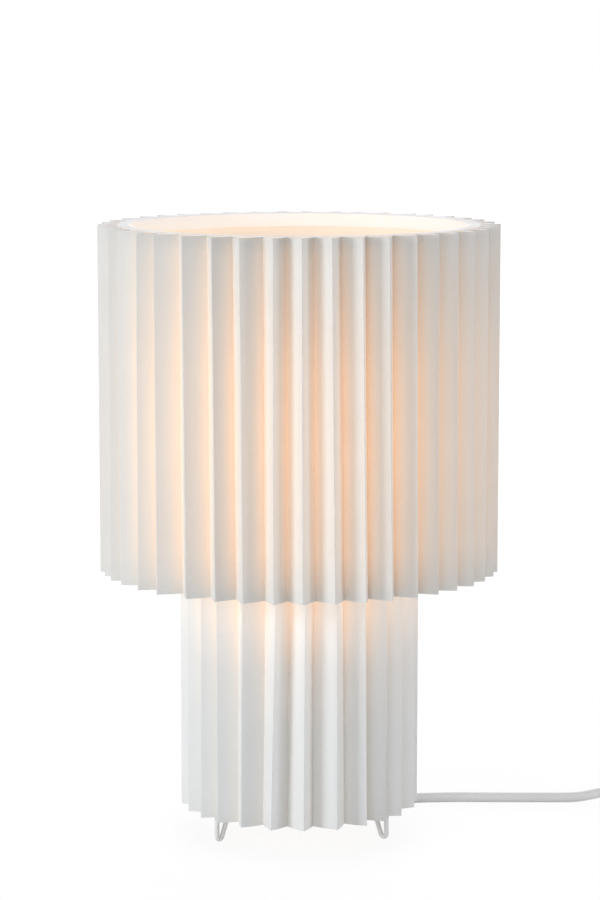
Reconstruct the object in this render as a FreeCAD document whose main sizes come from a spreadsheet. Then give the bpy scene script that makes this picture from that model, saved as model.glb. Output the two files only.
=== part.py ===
import FreeCAD, Part
import math
import os
import Sketcher

# Pleated paper table lamp: a small pleated drum on three hairpin wire feet carries a lampholder on a
# wire tripod; a wider pleated drum hangs on the lampholder's shoulder by a three-armed spider.
# Millimetres, +Z up. The origin is on the lamp's axis, on the surface that it stands on.
# The front is -Y and the lead leaves to +X. An azimuth is counted from the front towards +X.

DOC = FreeCAD.newDocument("PleatedPaperLamp")
SHEET = DOC.addObject("Spreadsheet::Sheet", "Sizes")

DRIVING = {
    # Shade: outer drum of folded paper.
    "shade_radius": 140.0,
    "shade_height": 240.8,
    "shade_bottom": 188.5,
    "shade_pleat_count": 43,
    "shade_pleat_depth": 15.0,
    "shade_pleat_azimuth": 1.1,
    "rim_width": 6.88,
    "top_hem_depth": 10.0,
    "bottom_hem_depth": 7.0,
    "hem_thickness": 0.6,
    "shade_wire_radius": 2.0,
    # Base: narrow drum of the same paper.
    "base_radius": 84.0,
    "base_height": 166.0,
    "base_bottom": 20.0,
    "base_pleat_count": 25,
    "base_pleat_depth": 13.5,
    "base_pleat_azimuth": 2.3,
    "base_wire_radius": 1.5,
    # Paper and its backing.
    "paper_thickness": 0.5,
    "liner_thickness": 0.5,
    # Hairpin legs and the plate that they meet.
    "leg_count": 3,
    "leg_azimuth": 3.4,
    "leg_wire_radius": 1.7,
    "foot_inset": 0.8,
    "foot_bend_radius": 2.05,
    "foot_flat": 0.25,
    "leg_head_radius": 14.0,
    "hub_plate_radius": 28.0,
    "hub_plate_thickness": 2.0,
    # Threaded tube, its fasteners and the cord grip.
    "nipple_radius": 5.0,
    "nipple_bore": 3.7,
    "nipple_reach": 8.5,
    "washer_radius": 9.0,
    "washer_thickness": 1.0,
    "nut_across_corners": 16.2,
    "nut_thickness": 3.0,
    "grip_length": 24.0,
    "grip_radius": 8.0,
    "grip_tip_radius": 4.6,
    "grip_taper": 12.0,
    "grip_screw_radius": 1.5,
    "grip_screw_length": 5.0,
    # Lampholder for a 27 mm screw cap.
    "holder_radius": 20.5,
    "holder_wall": 2.2,
    "holder_neck_radius": 11.0,
    "holder_neck_height": 6.0,
    "holder_cone_height": 8.0,
    "holder_cap_height": 23.7,
    "holder_body_depth": 14.0,
    "holder_flange_radius": 24.0,
    "holder_flange_thickness": 3.0,
    "holder_skirt_radius": 19.7,
    "holder_skirt_height": 24.0,
    "holder_mouth_bore": 14.6,
    "insert_height": 10.5,
    "shell_bore": 13.5,
    "shell_thickness": 0.5,
    "shell_height": 22.0,
    "contact_rise": 3.4,
    "contact_width": 5.0,
    "contact_thickness": 0.6,
    "terminal_offset": 7.0,
    "terminal_radius": 1.8,
    "terminal_height": 4.0,
    "lead_radius": 1.3,
    "lead_offset": 1.6,
    # Spider and the nut that holds it down.
    "spider_bore": 20.6,
    "spider_ring_width": 5.4,
    "spider_ring_thickness": 2.0,
    "arm_count": 3,
    "arm_azimuth": 30.0,
    "shade_nut_flange_radius": 27.5,
    "shade_nut_radius": 23.0,
    "shade_nut_height": 10.0,
    "shade_nut_flange_thickness": 2.5,
    "shade_nut_notch_count": 12,
    "shade_nut_notch_radius": 2.0,
    # Bulb.
    "bulb_cap_radius": 13.1,
    "bulb_thread_pitch": 3.629,
    "bulb_thread_depth": 0.8,
    "bulb_thread_turns": 5,
    "bulb_contact_radius": 4.6,
    "bulb_contact_height": 1.6,
    "bulb_insulator_height": 4.0,
    "bulb_neck_radius": 13.3,
    "bulb_housing_start": 27.0,
    "bulb_housing_height": 39.0,
    "bulb_housing_radius": 28.6,
    "bulb_housing_wall": 1.6,
    "bulb_globe_radius": 30.0,
    "bulb_globe_wall": 1.2,
    "board_thickness": 1.6,
    # Mains lead and what is on it.
    "cord_radius": 3.5,
    "cord_lane": 67.0,
    "switch_axis_height": 8.0,
    "switch_start": 258.0,
    "switch_length": 56.0,
    "switch_width": 26.0,
    "switch_corner": 9.0,
    "switch_inner_corner": 7.0,
    "switch_cover_height": 8.5,
    "switch_wall": 2.0,
    "relief_length": 20.0,
    "relief_root_radius": 5.5,
    "relief_tip_radius": 4.0,
    "rocker_radius": 10.2,
    "rocker_width": 11.4,
    "rocker_tilt": 8.0,
    "rocker_pivot_depth": 4.0,
    "rocker_pin_radius": 1.0,
    "switch_screw_radius": 1.5,
    "switch_screw_spacing": 40.0,
    "coil_radius": 47.0,
    "coil_pitch": 7.6,
    "coil_layer_turns": 2.25,
    "coil_climb_turns": 0.5,
    "coil_entry_x": 390.0,
    "coil_entry_y": -6.0,
    "plug_axis_height": 6.85,
    "plug_lane": -92.0,
    "plug_face": 258.0,
    "plug_length": 36.0,
    "plug_width": 34.0,
    "plug_thickness": 13.7,
    "plug_corner": 5.0,
    "plug_nose_width": 26.0,
    "pin_radius": 2.0,
    "pin_length": 19.0,
    "pin_spacing": 18.6,
    "pin_tip": 0.8,
    # Clearances.
    "glue_gap": 0.2,
    "seat_gap": 0.15,
    "turn_gap": 0.3,
    "thread_gap": 0.05,
    "thread_slack": 0.2,
}

DERIVED = {
    "shade_top": "shade_bottom + shade_height",
    "shade_fold_arc": "(shade_radius - shade_pleat_depth / 2) * pi / shade_pleat_count",
    "shade_paper_run": "paper_thickness * sqrt(1 + (shade_pleat_depth / shade_fold_arc) ^ 2)",
    "shade_liner_outer": "shade_radius - shade_pleat_depth - shade_paper_run - glue_gap",
    "shade_liner_inner": "shade_liner_outer - liner_thickness",
    "shade_ring_radius": "shade_liner_inner - seat_gap - shade_wire_radius",
    "shade_liner_low": "shade_bottom + hem_thickness",
    "shade_liner_high": "shade_top - hem_thickness",
    "shade_ring_low": "shade_liner_low + seat_gap + shade_wire_radius",
    "shade_ring_high": "shade_liner_high - seat_gap - shade_wire_radius",
    "opening_radius": "shade_liner_outer - rim_width",
    "hem_inner": "opening_radius + hem_thickness",
    "top_hem_low": "shade_top - top_hem_depth",
    "bottom_hem_high": "shade_bottom + bottom_hem_depth",
    "base_top": "base_bottom + base_height",
    "base_fold_arc": "(base_radius - base_pleat_depth / 2) * pi / base_pleat_count",
    "base_paper_run": "paper_thickness * sqrt(1 + (base_pleat_depth / base_fold_arc) ^ 2)",
    "base_liner_outer": "base_radius - base_pleat_depth - base_paper_run - glue_gap",
    "base_liner_inner": "base_liner_outer - liner_thickness",
    "base_ring_radius": "base_liner_inner - seat_gap - base_wire_radius",
    "base_ring_low": "base_bottom + base_wire_radius",
    "base_ring_high": "base_top - base_wire_radius",
    "foot_radius": "base_ring_radius - foot_inset",
    "foot_top": "base_bottom - seat_gap",
    "spider_low": "shade_ring_low - spider_ring_thickness / 2",
    "spider_high": "shade_ring_low + spider_ring_thickness / 2",
    "spider_outer": "spider_bore + spider_ring_width",
    "holder_shoulder": "spider_low - turn_gap",
    "holder_mouth": "holder_shoulder + holder_skirt_height",
    "holder_flange_low": "holder_shoulder - holder_flange_thickness",
    "holder_joint": "holder_shoulder - holder_body_depth",
    "holder_foot": "holder_joint - holder_cap_height",
    "holder_neck_high": "holder_foot + holder_neck_height",
    "holder_cone_high": "holder_neck_high + holder_cone_height",
    "holder_inner": "holder_radius - holder_wall",
    "holder_floor": "holder_foot + nipple_reach + holder_wall",
    "nipple_thread": "nipple_radius + thread_gap",
    "insert_radius": "holder_inner - seat_gap",
    "insert_top": "holder_joint + insert_height",
    "shell_outer": "shell_bore + shell_thickness",
    "shell_top": "insert_top + shell_height",
    "hub_low": "holder_foot - hub_plate_thickness",
    "washer_low": "hub_low - washer_thickness",
    "nut_low": "washer_low - nut_thickness",
    "grip_low": "nut_low - grip_length",
    "grip_taper_high": "grip_low + grip_taper",
    "nipple_low": "nut_low - nipple_reach",
    "nipple_high": "holder_foot + nipple_reach",
    "shade_nut_low": "spider_high + turn_gap",
    "shade_nut_bore": "holder_skirt_radius + thread_slack",
    "shade_nut_step": "shade_nut_low + shade_nut_flange_thickness",
    "shade_nut_high": "shade_nut_low + shade_nut_height",
    "bulb_tip": "insert_top + contact_rise + turn_gap",
    "bulb_contact_high": "bulb_tip + bulb_contact_height",
    "bulb_insulator_high": "bulb_contact_high + bulb_insulator_height",
    "bulb_insulator_radius": "bulb_cap_radius - bulb_thread_depth - hem_thickness",
    "bulb_housing_low": "bulb_tip + bulb_housing_start",
    "bulb_housing_high": "bulb_housing_low + bulb_housing_height",
    "bulb_housing_inner": "bulb_housing_radius - bulb_housing_wall",
    "bulb_neck_inner": "bulb_neck_radius - bulb_housing_wall",
    "board_low": "bulb_housing_high - board_thickness",
    "board_radius": "bulb_housing_inner - seat_gap",
    "switch_end": "switch_start + switch_length",
    "switch_top": "switch_axis_height + switch_cover_height",
    "rocker_pivot": "switch_top - rocker_pivot_depth",
}


def fill_sheet():
    """Driving dimensions are plain numbers; the others are formulas of them."""
    for row, (alias, number) in enumerate(DRIVING.items(), start=1):
        SHEET.set("A%d" % row, alias)
        SHEET.set("B%d" % row, str(number))
        SHEET.setAlias("B%d" % row, alias)
    for row, (alias, formula) in enumerate(DERIVED.items(), start=1):
        SHEET.set("D%d" % row, alias)
        SHEET.set("E%d" % row, "=" + formula)
        SHEET.setAlias("E%d" % row, alias)
    DOC.recompute()


def size(alias):
    return float(SHEET.get(alias))


def around(radius, azimuth, height):
    """Point at a radius and an azimuth in degrees from the front."""
    angle = math.radians(azimuth)
    return FreeCAD.Vector(radius * math.sin(angle), -radius * math.cos(angle), height)


# ---------------------------------------------------------------- ways of making a piece

SUBPARTS = []


def keep(piece, label):
    """Names a finished piece and adds it to the pieces that are written."""
    piece.Label = label
    SUBPARTS.append(piece)
    return piece


def bind(piece, **properties):
    for name, expression in properties.items():
        piece.setExpression(name, expression)


def origin_plane(body, role):
    return next(item for item in body.Origin.OriginFeatures if item.Role == role)


def new_sketch(body, role, label):
    sketch = body.newObject("Sketcher::SketchObject", label)
    sketch.AttachmentSupport = [(origin_plane(body, role), "")]
    sketch.MapMode = "FlatFace"
    return sketch


def pin_corner(sketch, edge, alias, kind):
    """Fixes one coordinate of an edge's first point to a cell of the sheet, or to an axis."""
    horizontal = kind == "DistanceX"
    if alias == "axis":
        sketch.addConstraint(Sketcher.Constraint("PointOnObject", edge, 1, -2 if horizontal else -1))
        return
    index = sketch.addConstraint(Sketcher.Constraint(kind, -1, 1, edge, 1, size(alias)))
    sketch.setExpression("Constraints[%d]" % index, "Sizes." + alias)


def closed_outline(sketch, corners):
    """Polygon whose corners are pairs of sheet names: distance from the axis, height."""
    points = [FreeCAD.Vector(0.0 if across == "axis" else size(across), size(up), 0.0)
              for across, up in corners]
    count = len(points)
    for index, point in enumerate(points):
        sketch.addGeometry(Part.LineSegment(point, points[(index + 1) % count]), False)
    for index in range(count):
        sketch.addConstraint(Sketcher.Constraint("Coincident", index, 2, (index + 1) % count, 1))
    for index, (across, up) in enumerate(corners):
        pin_corner(sketch, index, across, "DistanceX")
        pin_corner(sketch, index, up, "DistanceY")


def turned_body(name, corners):
    """Body turned about the lamp's axis from a closed outline."""
    body = DOC.addObject("PartDesign::Body", name)
    sketch = new_sketch(body, "XZ_Plane", name + "_outline")
    closed_outline(sketch, corners)
    turning = body.newObject("PartDesign::Revolution", name + "_turning")
    turning.Profile = sketch
    turning.ReferenceAxis = (sketch, ["V_Axis"])
    turning.Angle = 360.0
    sketch.Visibility = False
    return body


def turned(label, corners):
    return keep(turned_body(label, corners), label)


def wire_ring(label, radius, wire_radius, height):
    """Round wire bent into a closed ring about the lamp's axis."""
    ring = DOC.addObject("Part::Torus", label)
    bind(ring, Radius1="Sizes." + radius, Radius2="Sizes." + wire_radius)
    ring.setExpression("Placement.Base.z", "Sizes." + height)
    return keep(ring, label)


def block(name, length, width, height, corner):
    """Box sized by expressions, with its lowest corner at three expressions."""
    box = DOC.addObject("Part::Box", name)
    bind(box, Length=length, Width=width, Height=height)
    for axis, expression in zip("xyz", corner):
        box.setExpression("Placement.Base." + axis, expression)
    return box


def rod(name, radius, height, foot, direction=None):
    """Cylinder sized by expressions, standing on a point along a direction."""
    cylinder = DOC.addObject("Part::Cylinder", name)
    bind(cylinder, Radius=radius, Height=height)
    if direction is not None:
        cylinder.Placement.Rotation = FreeCAD.Rotation(FreeCAD.Vector(0, 0, 1), direction)
    for axis, expression in zip("xyz", foot):
        cylinder.setExpression("Placement.Base." + axis, expression)
    return cylinder


def less(name, base, tool):
    cut = DOC.addObject("Part::Cut", name)
    cut.Base = base
    cut.Tool = tool
    return cut


def joined(name, pieces):
    fusion = DOC.addObject("Part::MultiFuse", name)
    fusion.Shapes = pieces
    return fusion


def formed(label, shape):
    """Piece whose form is worked out in code from the sheet."""
    feature = DOC.addObject("Part::Feature", label)
    feature.Shape = shape
    return keep(feature, label)


# ---------------------------------------------------------------- wires, tubes and coils

def swept(path, radius):
    """Round bar of a radius along a path of lines and arcs."""
    start = path.Edges[0]
    heading = start.tangentAt(start.FirstParameter)
    section = Part.Wire([Part.Edge(Part.Circle(start.valueAt(start.FirstParameter), heading, radius))])
    return path.makePipeShell([section], True, False)


def rounded_route(points):
    """Straight runs joined by tangent arcs, each as large as its two runs allow."""
    share = 0.45
    edges = []
    radii = []
    last = points[0]
    for before, corner, after in zip(points, points[1:], points[2:]):
        incoming = (corner - before).normalize()
        outgoing = (after - corner).normalize()
        half_turn = incoming.getAngle(outgoing) / 2.0
        setback = share * min(corner.distanceToPoint(before), corner.distanceToPoint(after))
        radius = setback / math.tan(half_turn)
        first = corner - incoming * setback
        final = corner + outgoing * setback
        inward = (outgoing - incoming).normalize()
        middle = corner + inward * (radius / math.cos(half_turn) - radius)
        edges.append(Part.LineSegment(last, first).toShape())
        edges.append(Part.Arc(first, middle, final).toShape())
        radii.append(radius)
        last = final
    edges.append(Part.LineSegment(last, points[-1]).toShape())
    return Part.Wire(edges), radii


def cord_stretch(label, points):
    """Free stretch of the lead, with its bends and its volume set against its length."""
    radius = size("cord_radius")
    path, radii = rounded_route([FreeCAD.Vector(*point) for point in points])
    tube = swept(path, radius)
    ratio = tube.Volume / (math.pi * radius ** 2 * path.Length)
    print("%s: length %.1f, radii %s, volume ratio %.4f"
          % (label, path.Length, " ".join("%.0f" % bend for bend in radii), ratio))
    return formed(label, tube)


def half_arc(start, apex, finish):
    """Arc from start to finish whose end tangents meet at the apex."""
    chord_middle = (start + finish) * 0.5
    half_chord = start.distanceToPoint(finish) / 2.0
    rise = chord_middle.distanceToPoint(apex)
    radius = start.distanceToPoint(apex) * half_chord / rise
    bulge = radius - math.sqrt(radius ** 2 - half_chord ** 2)
    middle = chord_middle + (apex - chord_middle).normalize() * bulge
    return Part.Arc(start, middle, finish).toShape()


def biarc(start, heading, finish, final_heading):
    """Two arcs that leave and arrive along the given directions."""
    step = finish - start
    both = heading + final_heading
    square = 2.0 * (heading.dot(final_heading) - 1.0)
    linear = -2.0 * step.dot(both)
    reach = (-linear - math.sqrt(linear ** 2 - 4.0 * square * step.dot(step))) / (2.0 * square)
    if reach < 0.0:
        reach = (-linear + math.sqrt(linear ** 2 - 4.0 * square * step.dot(step))) / (2.0 * square)
    first_apex = start + heading * reach
    last_apex = finish - final_heading * reach
    joint = (first_apex + last_apex) * 0.5
    return [half_arc(start, first_apex, joint), half_arc(joint, last_apex, finish)]


def eased(share):
    """Smooth step from 0 to 1 with level ends."""
    return share * share * (3.0 - 2.0 * share)


def coil_turns():
    return 2.0 * size("coil_layer_turns") + size("coil_climb_turns")


def coil_point(turns):
    """Centre line of the put-away coil: in, up a layer while it reverses, and out again."""
    radius = size("coil_radius") - size("coil_pitch") * min(turns, coil_turns() - turns)
    climbed = (turns - size("coil_layer_turns")) / size("coil_climb_turns")
    lift = size("coil_pitch") * eased(min(max(climbed, 0.0), 1.0))
    angle = -2.0 * math.pi * turns
    centre_x = size("coil_entry_x") - size("coil_radius")
    return FreeCAD.Vector(centre_x + radius * math.cos(angle),
                          size("coil_entry_y") + radius * math.sin(angle),
                          size("cord_radius") + lift)


def coil_heading(turns):
    """Direction of the coil's centre line, level and square to the radius at both ends."""
    nudge = 1e-4
    if turns <= 0.0 or turns >= coil_turns():
        return FreeCAD.Vector(0, -1, 0)
    return (coil_point(turns + nudge) - coil_point(turns - nudge)).normalize()


def coil_path():
    """Biarcs of a quarter turn along the whole coil."""
    quarter = 0.25
    total = coil_turns()
    steps = round(total / quarter)
    edges = []
    for index in range(steps):
        start = total * index / steps
        finish = total * (index + 1) / steps
        edges += biarc(coil_point(start), coil_heading(start), coil_point(finish), coil_heading(finish))
    return Part.Wire(edges)


def gap_to_itself(path, radius):
    """Least gap between stretches of the tube that are not neighbours along it."""
    points = path.discretize(Distance=1.0)
    skip = int(12.0 * radius)
    least = min(points[i].distanceToPoint(points[j])
                for i in range(len(points)) for j in range(i + skip, len(points)))
    return least - 2.0 * radius


# ---------------------------------------------------------------- folded paper drums

def star_face(peak, valley, count, azimuth, height):
    """Flat star whose corners are the folds, peak and valley in turn."""
    half = 180.0 / count
    corners = [around(peak if index % 2 == 0 else valley, azimuth + index * half, height)
               for index in range(2 * count)]
    return Part.Face(Part.makePolygon(corners + corners[:1]))


def pleated_drum(label, drum, low, high):
    """Paper folded round a drum: both faces of the sheet follow the same folds."""
    peak = size(drum + "_radius")
    valley = peak - size(drum + "_pleat_depth")
    run = size(drum + "_paper_run")
    count = int(size(drum + "_pleat_count"))
    azimuth = size(drum + "_pleat_azimuth")
    rise = FreeCAD.Vector(0, 0, size(high) - size(low))
    outside = star_face(peak, valley, count, azimuth, size(low)).extrude(rise)
    inside = star_face(peak - run, valley - run, count, azimuth, size(low)).extrude(rise)
    return formed(label, outside.cut(inside))


def make_shade():
    pleated_drum("shade_pleats", "shade", "shade_bottom", "shade_top")
    turned("shade_liner", [
        ("shade_liner_inner", "shade_liner_low"), ("shade_liner_outer", "shade_liner_low"),
        ("shade_liner_outer", "shade_liner_high"), ("shade_liner_inner", "shade_liner_high")])
    wire_ring("shade_top_ring", "shade_ring_radius", "shade_wire_radius", "shade_ring_high")
    wire_ring("shade_bottom_ring", "shade_ring_radius", "shade_wire_radius", "shade_ring_low")
    turned("shade_top_hem", [
        ("opening_radius", "top_hem_low"), ("hem_inner", "top_hem_low"),
        ("hem_inner", "shade_liner_high"), ("shade_liner_outer", "shade_liner_high"),
        ("shade_liner_outer", "shade_top"), ("opening_radius", "shade_top")])
    hem = turned_body("bottom_hem_whole", [
        ("opening_radius", "shade_bottom"), ("shade_liner_outer", "shade_bottom"),
        ("shade_liner_outer", "shade_liner_low"), ("hem_inner", "shade_liner_low"),
        ("hem_inner", "bottom_hem_high"), ("opening_radius", "bottom_hem_high")])
    keep(less("shade_bottom_hem_cut", hem, joined("hem_notches", arm_notches())), "shade_bottom_hem")
    turned("spider_ring", [
        ("spider_bore", "spider_low"), ("spider_outer", "spider_low"),
        ("spider_outer", "spider_high"), ("spider_bore", "spider_high")])
    for index in range(int(size("arm_count"))):
        formed("spider_arm_%d" % (index + 1), spider_arm(index))


def arm_direction(index):
    return around(1.0, size("arm_azimuth") + 360.0 * index / size("arm_count"), 0.0)


def spider_arm(index):
    """Straight wire from the middle ring to the shade's lower ring."""
    direction = arm_direction(index)
    start = direction * (size("spider_outer") + size("thread_gap"))
    start.z = size("shade_ring_low")
    reach = (size("shade_ring_radius") - size("shade_wire_radius") - size("seat_gap")
             - size("spider_outer") - size("thread_gap"))
    return Part.makeCylinder(size("shade_wire_radius"), reach, start, direction)


def arm_notches():
    """Slots in the lower hem where the spider's arms pass."""
    notches = []
    for index in range(int(size("arm_count"))):
        notch = rod("hem_notch_%d" % (index + 1), "Sizes.shade_wire_radius + Sizes.turn_gap",
                    "Sizes.shade_ring_radius", ("0", "0", "Sizes.shade_ring_low"), arm_direction(index))
        notches.append(notch)
    return notches


def make_base():
    pleated_drum("base_pleats", "base", "base_bottom", "base_top")
    turned("base_liner", [
        ("base_liner_inner", "base_bottom"), ("base_liner_outer", "base_bottom"),
        ("base_liner_outer", "base_top"), ("base_liner_inner", "base_top")])
    wire_ring("base_top_ring", "base_ring_radius", "base_wire_radius", "base_ring_high")
    wire_ring("base_bottom_ring", "base_ring_radius", "base_wire_radius", "base_ring_low")


# ---------------------------------------------------------------- legs and hub

def leg_shape(azimuth):
    """Hairpin wire: down from the plate, round the foot and up to the drum's lower ring."""
    bend = size("foot_bend_radius")
    wire = size("leg_wire_radius")
    foot = size("foot_radius")
    bend_height = bend + wire - size("foot_flat")
    head = (size("leg_head_radius"), size("hub_low"))
    reach = math.hypot(head[0] - foot, head[1] - bend_height)
    bearing = math.atan2(head[1] - bend_height, head[0] - foot)
    touch = bearing + math.acos(bend / reach)
    middle = (touch + 2.0 * math.pi) / 2.0

    def place(radius, height):
        return around(radius, azimuth, height)

    def on_bend(angle):
        return place(foot + bend * math.cos(angle), bend_height + bend * math.sin(angle))

    path = Part.Wire([
        Part.LineSegment(place(*head), on_bend(touch)).toShape(),
        Part.Arc(on_bend(touch), on_bend(middle), on_bend(0.0)).toShape(),
        Part.LineSegment(on_bend(0.0), place(foot + bend, size("foot_top"))).toShape()])
    bar = swept(path, wire)
    under = 4.0 * size("foot_radius")
    ground = Part.makeBox(under, under, wire, FreeCAD.Vector(-under / 2.0, -under / 2.0, -wire))
    over = Part.makeBox(under, under, wire * 4.0,
                        FreeCAD.Vector(-under / 2.0, -under / 2.0, size("hub_low")))
    return bar.cut(ground).cut(over)


def make_stand():
    count = int(size("leg_count"))
    for index in range(count):
        azimuth = size("leg_azimuth") + 360.0 * index / count + 180.0
        formed("leg_%d" % (index + 1), leg_shape(azimuth))
    turned("hub_plate", [
        ("nipple_thread", "hub_low"), ("hub_plate_radius", "hub_low"),
        ("hub_plate_radius", "holder_foot"), ("nipple_thread", "holder_foot")])
    turned("threaded_tube", [
        ("nipple_bore", "nipple_low"), ("nipple_radius", "nipple_low"),
        ("nipple_radius", "nipple_high"), ("nipple_bore", "nipple_high")])
    turned("hub_washer", [
        ("nipple_thread", "washer_low"), ("washer_radius", "washer_low"),
        ("washer_radius", "hub_low"), ("nipple_thread", "hub_low")])
    hexagon = DOC.addObject("Part::Prism", "nut_hexagon")
    hexagon.Polygon = 6
    bind(hexagon, Circumradius="Sizes.nut_across_corners / 2", Height="Sizes.nut_thickness")
    hexagon.setExpression("Placement.Base.z", "Sizes.nut_low")
    bore = rod("nut_bore", "Sizes.nipple_thread", "Sizes.nut_thickness", ("0", "0", "Sizes.nut_low"))
    keep(less("nut_cut", hexagon, bore), "hub_nut")
    make_cord_grip()


def make_cord_grip():
    """Tapered grip under the plate, with the small screw that clamps the lead."""
    grip = turned_body("grip_whole", [
        ("axis", "grip_low"), ("grip_tip_radius", "grip_low"), ("grip_radius", "grip_taper_high"),
        ("grip_radius", "nut_low"), ("nipple_thread", "nut_low"), ("nipple_thread", "nipple_low"),
        ("axis", "nipple_low")])
    to_the_right = FreeCAD.Vector(1, 0, 0)
    depth = "Sizes.grip_radius - Sizes.grip_screw_length + Sizes.thread_gap"
    level = "Sizes.grip_taper_high + Sizes.grip_screw_radius"
    hole = rod("grip_screw_hole", "Sizes.grip_screw_radius + Sizes.thread_gap",
               "Sizes.grip_screw_length + Sizes.grip_radius", (depth, "0", level), to_the_right)
    keep(less("grip_cut", grip, hole), "cord_grip")
    screw = rod("grip_screw_rod", "Sizes.grip_screw_radius", "Sizes.grip_screw_length",
                (depth, "0", level), to_the_right)
    keep(screw, "cord_grip_screw")


# ---------------------------------------------------------------- lampholder

def make_lampholder():
    turned("holder_cap", [
        ("nipple_thread", "holder_foot"), ("holder_neck_radius", "holder_foot"),
        ("holder_neck_radius", "holder_neck_high"), ("holder_radius", "holder_cone_high"),
        ("holder_radius", "holder_joint"), ("holder_inner", "holder_joint"),
        ("holder_inner", "holder_cone_high"), ("nipple_thread", "holder_floor")])
    turned("holder_body", [
        ("holder_inner", "holder_joint"), ("holder_radius", "holder_joint"),
        ("holder_radius", "holder_flange_low"), ("holder_flange_radius", "holder_flange_low"),
        ("holder_flange_radius", "holder_shoulder"), ("holder_skirt_radius", "holder_shoulder"),
        ("holder_skirt_radius", "holder_mouth"), ("holder_mouth_bore", "holder_mouth"),
        ("holder_mouth_bore", "insert_top"), ("holder_inner", "insert_top")])
    turned("holder_insert", [
        ("axis", "holder_joint"), ("insert_radius", "holder_joint"),
        ("insert_radius", "insert_top"), ("axis", "insert_top")])
    turned("holder_screw_shell", [
        ("shell_bore", "insert_top"), ("shell_outer", "insert_top"),
        ("shell_outer", "shell_top"), ("shell_bore", "shell_top")])
    formed("holder_centre_contact", centre_contact())
    screws = [rod("terminal_%d" % (index + 1), "Sizes.terminal_radius", "Sizes.terminal_height",
                  (across, "0", "Sizes.holder_joint - Sizes.terminal_height"))
              for index, across in enumerate(("Sizes.terminal_offset", "-Sizes.terminal_offset"))]
    keep(joined("terminal_pair", screws), "terminal_screws")
    formed("inner_leads", Part.makeCompound([inner_lead(1.0), inner_lead(-1.0)]))
    make_shade_nut()


def centre_contact():
    """Springy strip with one foot on the insert and its tongue under the bulb's tip."""
    low = size("insert_top")
    high = low + size("contact_rise")
    strip = size("contact_thickness")
    half = size("contact_width") / 2.0
    foot = 2.2 * half
    outline = [(-foot, low), (-half, low), (0.0, high - strip), (half, high - strip), (half, high),
               (-strip, high), (-half - strip, low + strip), (-foot, low + strip)]
    corners = [FreeCAD.Vector(across, -half, up) for across, up in outline]
    return Part.Face(Part.makePolygon(corners + corners[:1])).extrude(FreeCAD.Vector(0, 2 * half, 0))


def inner_lead(side):
    """One of the two conductors, from the cord grip up to its terminal."""
    near = side * size("lead_offset")
    far = side * size("terminal_offset")
    terminal = size("holder_joint") - size("terminal_height")
    rise = 1.5 * size("terminal_height")
    points = [FreeCAD.Vector(near, 0, size("nipple_low")), FreeCAD.Vector(near, 0, size("nipple_high")),
              FreeCAD.Vector(far, 0, terminal - rise / 2.0), FreeCAD.Vector(far, 0, terminal)]
    path, _ = rounded_route(points)
    return swept(path, size("lead_radius"))


def make_shade_nut():
    """Ring nut on the lampholder's skirt, with finger notches round its flange."""
    body = turned_body("shade_ring_nut", [
        ("shade_nut_bore", "shade_nut_low"), ("shade_nut_flange_radius", "shade_nut_low"),
        ("shade_nut_flange_radius", "shade_nut_step"), ("shade_nut_radius", "shade_nut_step"),
        ("shade_nut_radius", "shade_nut_high"), ("shade_nut_bore", "shade_nut_high")])
    sketch = new_sketch(body, "XY_Plane", "nut_notch_outline")
    centre = FreeCAD.Vector(size("shade_nut_flange_radius"), 0, 0)
    sketch.addGeometry(Part.Circle(centre, FreeCAD.Vector(0, 0, 1), size("shade_nut_notch_radius")), False)
    sketch.addConstraint(Sketcher.Constraint("PointOnObject", 0, 3, -1))
    across = sketch.addConstraint(Sketcher.Constraint("DistanceX", -1, 1, 0, 3, centre.x))
    sketch.setExpression("Constraints[%d]" % across, "Sizes.shade_nut_flange_radius")
    radius = sketch.addConstraint(Sketcher.Constraint("Radius", 0, size("shade_nut_notch_radius")))
    sketch.setExpression("Constraints[%d]" % radius, "Sizes.shade_nut_notch_radius")
    notch = body.newObject("PartDesign::Pocket", "nut_notch")
    notch.Profile = sketch
    notch.Type = "Length"
    notch.Reversed = True
    bind(notch, Length="Sizes.shade_nut_high")
    sketch.Visibility = False
    ring = body.newObject("PartDesign::PolarPattern", "nut_notches")
    ring.Originals = [notch]
    ring.Axis = (origin_plane(body, "Z_Axis"), [""])
    ring.Angle = 360.0
    bind(ring, Occurrences="Sizes.shade_nut_notch_count")
    body.Tip = ring
    keep(body, "shade_ring_nut")


# ---------------------------------------------------------------- bulb

def make_bulb():
    turned("bulb_contact", [
        ("axis", "bulb_tip"), ("bulb_contact_radius", "bulb_tip"),
        ("bulb_contact_radius", "bulb_contact_high"), ("axis", "bulb_contact_high")])
    turned("bulb_insulator", [
        ("axis", "bulb_contact_high"), ("bulb_contact_radius", "bulb_contact_high"),
        ("bulb_insulator_radius", "bulb_insulator_high"), ("axis", "bulb_insulator_high")])
    formed("bulb_cap", bulb_cap())
    turned("bulb_housing", [
        ("bulb_neck_inner", "bulb_housing_low"), ("bulb_neck_radius", "bulb_housing_low"),
        ("bulb_housing_radius", "bulb_housing_high"), ("bulb_housing_inner", "bulb_housing_high"),
        ("bulb_housing_inner", "board_low")])
    turned("bulb_board", [
        ("axis", "board_low"), ("board_radius", "board_low"),
        ("board_radius", "bulb_housing_high"), ("axis", "bulb_housing_high")])
    formed("bulb_globe", bulb_globe())


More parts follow.
